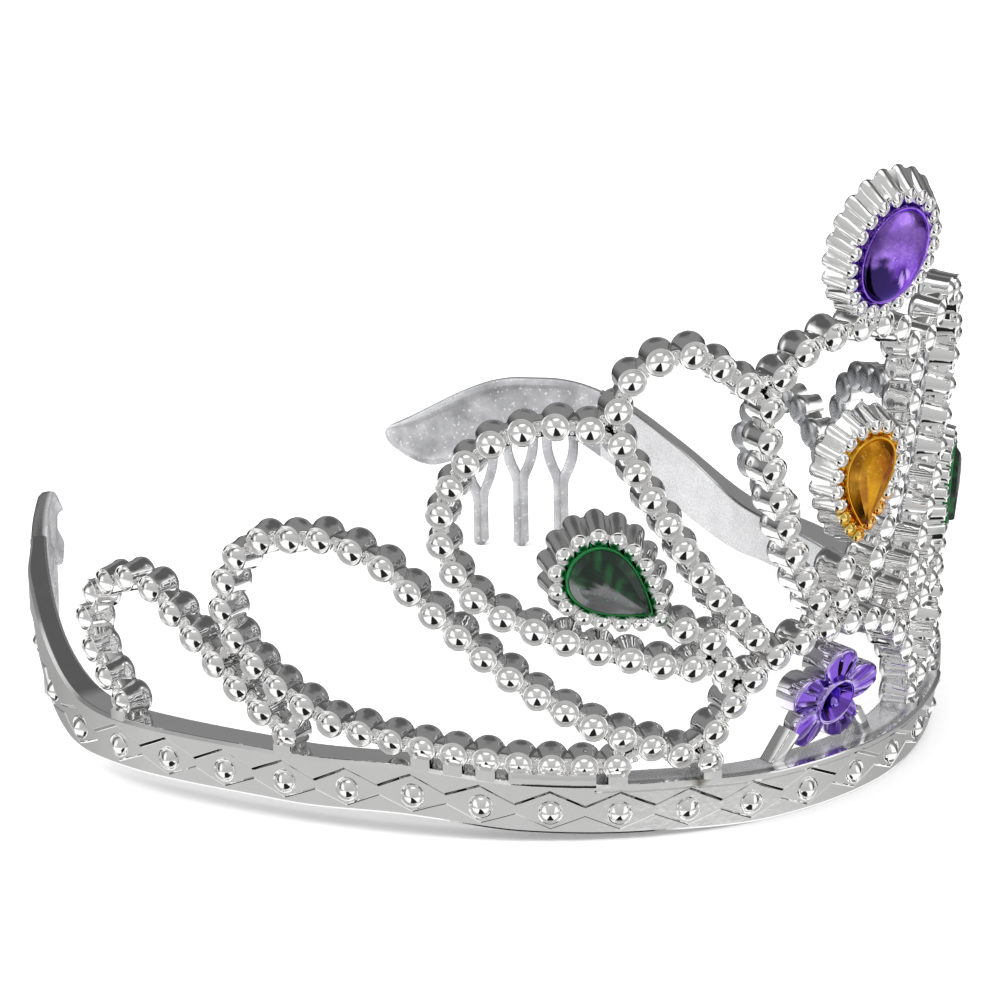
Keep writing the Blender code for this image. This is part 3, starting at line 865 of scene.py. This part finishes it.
def make_flower():
    """Five ribbed petals on thick silver walls round a deep cup with a small pistil.

    The flower's face looks down a little, but its walls run straight back to an upright plane.
    """
    solids = Solids()
    upright = panel_frame(-1e-6, FLOWER_CENTRE, -FLOWER_SETBACK)
    placing = upright @ Matrix.Rotation(FLOWER_TILT, 4, "X")
    straighten = upright.inverted() @ placing
    steps = 180
    angles = [2 * math.pi * (step + 0.5) / steps for step in range(steps)]

    def petal_ring(scale, level, ribbed=0.0, inset=0.0):
        places = []
        for angle in angles:
            reach = scale * petal_reach(angle) - inset
            lobe = math.cos(PETALS * (angle - math.pi / 2) / 2) ** 2
            ribs = max(0.0, math.cos(PETALS * RIBS * (angle - math.pi / 2) + math.pi)) ** 3 * lobe
            height = level + ribbed * (0.5 * ribs - 0.6 * (1.0 - lobe) ** 2)
            places.append(placing @ Vector((reach * math.cos(angle), reach * math.sin(angle), height)))
        return places

    def wall_ring(scale, back):
        places = []
        for angle in angles:
            reach = scale * petal_reach(angle)
            front = straighten @ Vector((reach * math.cos(angle), reach * math.sin(angle), 0.0))
            places.append(upright @ Vector((front.x, front.y, back)))
        return places

    def cup_ring(radius, level):
        return [placing @ Vector((0.93 * radius * math.cos(a), 1.07 * radius * math.sin(a), level))
                for a in angles]

    rings = [wall_ring(scale, back - PETAL_DEPTH) for scale, back in ((0.3, 0.0), (0.95, 0.0), (1.0, 0.3))]
    rings += [petal_ring(*ring) for ring in
              ((1.0, -0.55), (1.0, -0.25, 0.2), (1.0, -0.04, 0.4, 0.12), (1.0, 0.04, 0.6, 0.35),
               (0.86, 0.14, 1.0), (0.72, 0.18, 1.0), (0.58, 0.14, 0.7))]
    rings += [cup_ring(CUP_RADIUS * part, level) for part, level in
              ((0.99, 0.1), (0.98, 0.55), (0.955, 0.72), (0.92, 0.72), (0.9, 0.58), (0.87, 0.56),
               (0.84, 0.68), (0.8, 0.5), (0.62, -0.3), (0.4, -1.05), (0.16, -1.6), (0.05, -1.7))]
    solids.skin(rings, [1.0, 1.0] + [0.0] * (len(rings) - 2))
    pistil = [(0.45, 0.0), (0.7, 0.6), (0.85, 1.2), (0.7, 1.8), (0.2, 2.1)]
    lean = Matrix.Rotation(0.75, 4, "X") @ Matrix.Rotation(0.2, 4, "Y")
    lathe(solids, pistil, placing @ Matrix.Translation((0.3, 0.0, -1.3)) @ lean, PISTIL_SEGMENTS)

    def spray(local):
        """Purple on the face and in the cup, with pale lines on the ribs and along the rims as painted
        highlights, and painted shade over the left of the cup's hollow.
        """
        x, y, z = local.T
        reach, angle = np.hypot(x, y), np.arctan2(y, x)
        amount = np.where((reach < CUP_RADIUS) & (z > -2.2), 1.0, np.clip((z + 0.75) / 0.4, 0.0, 1.0))
        edge = petal_reach(angle)
        lines = np.maximum(0.0, np.cos(PETALS * RIBS * (angle - math.pi / 2) + math.pi)) ** 6
        ribs = 0.8 * lines * (reach < 0.9 * edge) * (reach > CUP_RADIUS)
        cup_rim = (reach > 0.9 * CUP_RADIUS) & (reach < 1.02 * CUP_RADIUS)
        pale = np.maximum(ribs, 0.7 * np.maximum(reach > edge - 0.3, cup_rim))[:, None]
        colours = np.array(PETAL) * (1.0 - pale) + np.array(PALE_HIGHLIGHT_LINE) * pale
        painted_cup_shade = (reach < 0.78 * CUP_RADIUS) & (x < 0.25) & (z < 0.0)
        colours = np.where(painted_cup_shade[:, None], CUP_SHADE_PAINT, colours)
        colours[-len(pistil) * PISTIL_SEGMENTS:] = PISTIL
        return colours, amount

    make_piece("flower_petals", solids, "flower", "purple_lacquer", spray, placing, 45.0, plated=True)


def make_strut(name, side):
    """A short bar that runs from a lower petal out and down to the band."""
    solids = Solids()
    foot, head = Vector((side * 9.0, BAND_TOP - 0.4)), Vector((side * 6.0, 7.9))
    add_link(solids, foot, head, 0.95, -1.2, bumps=False)
    make_piece(name + "_foot", solids, name, "silver_plate")


# ---- materials ----


class Nodes:
    """A short way to add nodes to a material or world and join them."""

    def __init__(self, tree):
        self.tree = tree

    def fill(self, node, inputs):
        """Join sockets to a node's inputs, or set plain values on them."""
        for key, value in inputs.items():
            if isinstance(value, bpy.types.NodeSocket):
                self.tree.links.new(value, node.inputs[key])
            else:
                node.inputs[key].default_value = value

    def add(self, kind, inputs=None, **settings):
        node = self.tree.nodes.new(kind)
        for key, value in settings.items():
            setattr(node, key, value)
        self.fill(node, inputs or {})
        return node

    def mix(self, factor, first, second):
        """Mix two colours."""
        first, second = (end if isinstance(end, bpy.types.NodeSocket) else (*end, 1.0)
                         for end in (first, second))
        return self.add("ShaderNodeMix", {0: factor, 6: first, 7: second}, data_type="RGBA").outputs[2]

    def blend(self, factor, first, second):
        """Mix two numbers."""
        return self.add("ShaderNodeMix", {0: factor, 2: first, 3: second}, data_type="FLOAT").outputs[0]

    def math(self, operation, *values):
        return self.add("ShaderNodeMath", dict(enumerate(values)), operation=operation).outputs[0]

    def product(self, first, *others):
        for other in others:
            first = self.math("MULTIPLY", first, other)
        return first

    def range(self, value, low, high, to_low=0.0, to_high=1.0):
        return self.add("ShaderNodeMapRange", {0: value, 1: low, 2: high, 3: to_low, 4: to_high}).outputs[0]

    def noise(self, scale, detail=2.0, roughness=0.5):
        place = self.add("ShaderNodeTexCoord").outputs["Object"]
        inputs = {"Vector": place, "Scale": scale, "Detail": detail, "Roughness": roughness}
        return self.add("ShaderNodeTexNoise", inputs).outputs["Fac"]

    def uneven(self, scale, strength, distance):
        """The normal of a slightly uneven surface."""
        inputs = {"Height": self.noise(scale, 3.0), "Strength": strength, "Distance": distance}
        return self.add("ShaderNodeBump", inputs).outputs["Normal"]

    def bare(self):
        return self.add("ShaderNodeAttribute", attribute_name="bare").outputs["Fac"]

    def sprayed(self, colour):
        """A colour with the piece's own lacquer, glue, painted shade and painted highlights over it."""
        spray = self.add("ShaderNodeAttribute", attribute_name="spray").outputs
        return self.mix(spray["Alpha"], colour, spray["Color"])


def new_material(name):
    material = bpy.data.materials.new(name)
    material.use_nodes = True
    nodes = Nodes(material.node_tree)
    shader = material.node_tree.nodes["Principled BSDF"]
    return material, nodes, shader


def plated_material():
    """Bright plating, greyer and softer where it is thin, pale where it has gone, lacquered in places, with
    painted shade and painted highlights in places.
    """
    material, nodes, shader = new_material("silver_plate")
    bare = nodes.bare()
    cloud = nodes.noise(260.0, 3.0)
    bright = nodes.mix(cloud, (0.86, 0.855, 0.85), (0.93, 0.928, 0.925))
    dull = nodes.mix(cloud, (0.42, 0.425, 0.44), (0.6, 0.605, 0.62))
    pale = nodes.mix(cloud, (0.6, 0.6, 0.61), (0.92, 0.92, 0.93))
    colour = nodes.sprayed(nodes.mix(bare, bright, dull))
    wear = nodes.range(nodes.noise(2400.0), 0.35, 0.75, 0.03, 0.07)
    nodes.fill(shader, {
        "Base Color": nodes.mix(nodes.range(bare, 1.0, 2.0), colour, pale),
        "Metallic": nodes.range(bare, 1.0, 2.0, 1.0, 0.5),
        "Roughness": nodes.math("ADD", wear, nodes.range(bare, 0.0, 1.0, 0.0, 0.22)),
        "Normal": nodes.uneven(900.0, 0.05, 0.0002),
    })
    return material


def lacquer_material(name, deep, light, speckle, gloss, metallic=1.0):
    """Clear coloured lacquer over bright plating, with drifts of deeper colour, fine speckles, and the
    painted shade, reflections and glints that its pieces carry.
    """
    material, nodes, shader = new_material(name)
    drift = nodes.range(nodes.noise(170.0, 4.0, 0.6), 0.35, 0.68)
    dots = nodes.range(nodes.noise(2600.0, 1.0), 0.66, 0.74)
    colour = nodes.mix(nodes.product(dots, 0.55), nodes.mix(drift, deep, light), speckle)
    nodes.fill(shader, {
        "Base Color": nodes.sprayed(colour),
        "Metallic": metallic,
        "Roughness": nodes.range(nodes.noise(700.0), 0.3, 0.7, gloss, gloss + 0.12),
        "Normal": nodes.uneven(420.0, 0.22, 0.0004),
        "Specular Tint": (*light, 1.0),
        "Coat Weight": 0.25,
        "Coat Roughness": 0.04,
    })
    return material


def pearl_material():
    """Thinly plated translucent plastic: cloudy, satin and speckled, and greyer outside."""
    material, nodes, shader = new_material("pearl_plastic")
    cloud = nodes.range(nodes.noise(210.0, 4.0, 0.6), 0.3, 0.7)
    glitter = nodes.range(nodes.noise(1900.0, 1.0), 0.66, 0.72)
    colour = nodes.mix(cloud, (0.3, 0.3, 0.31), (0.64, 0.64, 0.655))
    colour = nodes.mix(nodes.product(glitter, 0.6), colour, (0.95, 0.95, 0.97))
    outside = nodes.range(nodes.bare(), 0.6, 0.9, 1.0, 0.0)
    nodes.fill(shader, {
        "Base Color": nodes.mix(outside, colour, (0.5, 0.5, 0.5)),
        "Metallic": nodes.range(outside, 0.0, 1.0, 0.3, 0.95),
        "Roughness": nodes.range(cloud, 0.0, 1.0, 0.38, 0.22),
        "Normal": nodes.uneven(600.0, 0.08, 0.0003),
        "Subsurface Weight": 0.3,
        "Subsurface Radius": (0.002, 0.002, 0.0022),
        "Subsurface Scale": 0.5,
    })
    return material


def make_materials():
    materials = {"silver_plate": plated_material(), "pearl_plastic": pearl_material()}
    for name, *look in (
        ("purple_lacquer", (0.13, 0.04, 0.42), (0.52, 0.28, 1.0), (0.7, 0.5, 1.0), 0.12),
        ("amber_lacquer", (0.42, 0.13, 0.0), (0.85, 0.45, 0.015), (1.0, 0.75, 0.2), 0.24),
        # The green stone's grey colours stand for the pale reflection its lower facets show: a painted
        # reflection.
        ("green_lacquer", (0.12, 0.125, 0.125), (0.21, 0.205, 0.215), (0.1, 0.5, 0.2), 0.07, 0.5),
    ):
        materials[name] = lacquer_material(name, *look)
    return materials


# ---- the studio ----


def make_floor():
    shape = bmesh.new()
    bmesh.ops.create_grid(shape, x_segments=2, y_segments=2, size=2.5)
    mesh = bpy.data.meshes.new("floor")
    shape.to_mesh(mesh)
    shape.free()
    floor = bpy.data.objects.new("floor", mesh)
    bpy.context.scene.collection.objects.link(floor)
    material, nodes, shader = new_material("floor_paper")
    nodes.fill(shader, {"Base Color": (0.93, 0.93, 0.93, 1.0), "Roughness": 0.9})
    floor.data.materials.append(material)
    floor.visible_glossy = False


def make_world():
    """A soft room: white at the sides, below and above, grey in front, darker behind, a dark stand below.

    Only the plating mirrors the room; all other light that reaches the tiara is plain white.
    """
    world = bpy.data.worlds.new("studio")
    world.use_nodes = True
    bpy.context.scene.world = world
    nodes = Nodes(world.node_tree)
    background = world.node_tree.nodes["Background"]
    direction = nodes.add("ShaderNodeTexCoord").outputs["Generated"]
    toward = away(0.0, 0.0)
    sideways = Vector((-toward.y, toward.x, 0.0))

    def part_along(axis):
        node = nodes.add("ShaderNodeVectorMath", {0: direction, 1: axis}, operation="DOT_PRODUCT")
        return node.outputs["Value"]

    height = part_along(Vector((0.0, 0.0, 1.0)))
    front = part_along(toward)
    across = nodes.math("ABSOLUTE", part_along(sideways))
    front_wall = nodes.range(height, -0.2, 0.75, 0.5, 0.62)
    back_wall = nodes.math("MINIMUM", nodes.range(height, -0.12, 0.25, 0.06, 0.25),
                           nodes.range(height, 0.6, 0.75, 0.27, 0.11))
    walls = nodes.blend(nodes.range(front, -0.1, 0.3), back_wall, front_wall)
    side_panel = nodes.product(nodes.range(across, 0.66, 0.8), nodes.range(height, 0.72, 0.5),
                               nodes.range(height, -0.24, -0.14), nodes.range(front, -0.15, 0.05))
    walls = nodes.blend(side_panel, walls, SIDE_LIGHT)
    skirting = nodes.range(front, -0.6, 0.2, 0.4, 0.6)
    walls = nodes.blend(nodes.range(height, -0.2, -0.26), walls, skirting)
    below = nodes.range(height, -0.47, -0.52)
    walls = nodes.blend(below, walls, GROUND_LIGHT)
    ceiling = nodes.product(nodes.range(height, 0.84, 0.9), nodes.range(front, 0.05, 0.15))
    walls = nodes.blend(ceiling, walls, CEILING_LIGHT)
    neck = nodes.range(height, -0.85, -0.5, 0.3, 0.12)
    stand = nodes.product(nodes.range(nodes.math("SUBTRACT", across, neck), -0.035, 0.035, 1.0, 0.0),
                          nodes.range(front, -0.85, -0.7), below)
    light = nodes.blend(stand, walls, STAND_LIGHT)
    mirrored = nodes.add("ShaderNodeLightPath").outputs["Is Glossy Ray"]
    nodes.fill(background, {"Color": (1.0, 1.0, 1.0, 1.0), "Strength": nodes.blend(mirrored, 1.0, light)})


def away(turn, rise):
    """The way from the tiara towards something; turn is measured from the camera's side."""
    turn += CAMERA_TURN
    return Vector((math.sin(turn) * math.cos(rise), -math.cos(turn) * math.cos(rise), math.sin(rise)))


def add_softbox(name, turn, rise, distance, size, power):
    """A square area light aimed at the tiara; turn and rise are in degrees."""
    light = bpy.data.lights.new(name, "AREA")
    light.shape = "SQUARE"
    light.size = size
    light.energy = power
    lamp = bpy.data.objects.new(name, light)
    back = away(math.radians(turn), math.radians(rise))
    lamp.location = AIM + back * distance
    lamp.rotation_euler = back.to_track_quat("Z", "Y").to_euler()
    lamp.visible_glossy = False
    bpy.context.scene.collection.objects.link(lamp)


def make_lights():
    make_world()
    add_softbox("key_softbox", -75, 40, 1.0, 0.5, 6.0)
    add_softbox("fill_softbox", 80, 25, 1.0, 0.6, 5.0)
    add_softbox("top_softbox", 20, 78, 1.1, 0.6, 3.5)


def make_camera():
    camera = bpy.data.cameras.new("camera")
    camera.lens = CAMERA_LENS
    camera.clip_start = 0.01
    camera.dof.use_dof = False
    holder = bpy.data.objects.new("camera", camera)
    back = away(0.0, CAMERA_RISE)
    facing = back.to_track_quat("Z", "Y").to_matrix().to_4x4()
    place = Matrix.Translation(AIM + back * CAMERA_DISTANCE)
    holder.matrix_world = place @ facing @ Matrix.Rotation(CAMERA_ROLL, 4, "Z")
    bpy.context.scene.collection.objects.link(holder)
    bpy.context.scene.camera = holder


# ---- the tiara ----


def make_tiara():
    rows = {}
    for name, beads, points in CENTRE_ROWS:
        rows[name] = row_beads(beads, points, 1.0)
    for prefix, side in SIDES:
        for name, beads, points in SIDE_ROWS:
            rows[prefix + name] = row_beads(beads, points, side)
    for name, centres in rows.items():
        make_row(name, centres)
    make_band("band_front", -BAND_BREAKS[0], BAND_BREAKS[0], 1.0)
    for prefix, side in SIDES:
        make_links(prefix, rows)
        for name, start, end in zip(("band_side", "band_rear", "band_arm"), BAND_BREAKS, BAND_BREAKS[1:]):
            make_band(prefix + name, start, end, side)
        make_tab(prefix + "comb_tab", side)
        for tooth in range(TEETH):
            make_tooth(f"{prefix}comb_tooth_{tooth + 1}", FIRST_TOOTH + tooth * TOOTH_PITCH, side)
        for choice in SIDE_STONES:
            set_stone(prefix, choice, side)
        make_strut(prefix + "flower_strut", side)
    for choice in CENTRE_STONES:
        set_stone("", choice, -1.0)
    make_flower()


MATERIALS = make_materials()
make_tiara()
make_floor()
make_lights()
make_camera()
bpy.context.scene.view_settings.view_transform = "Standard"
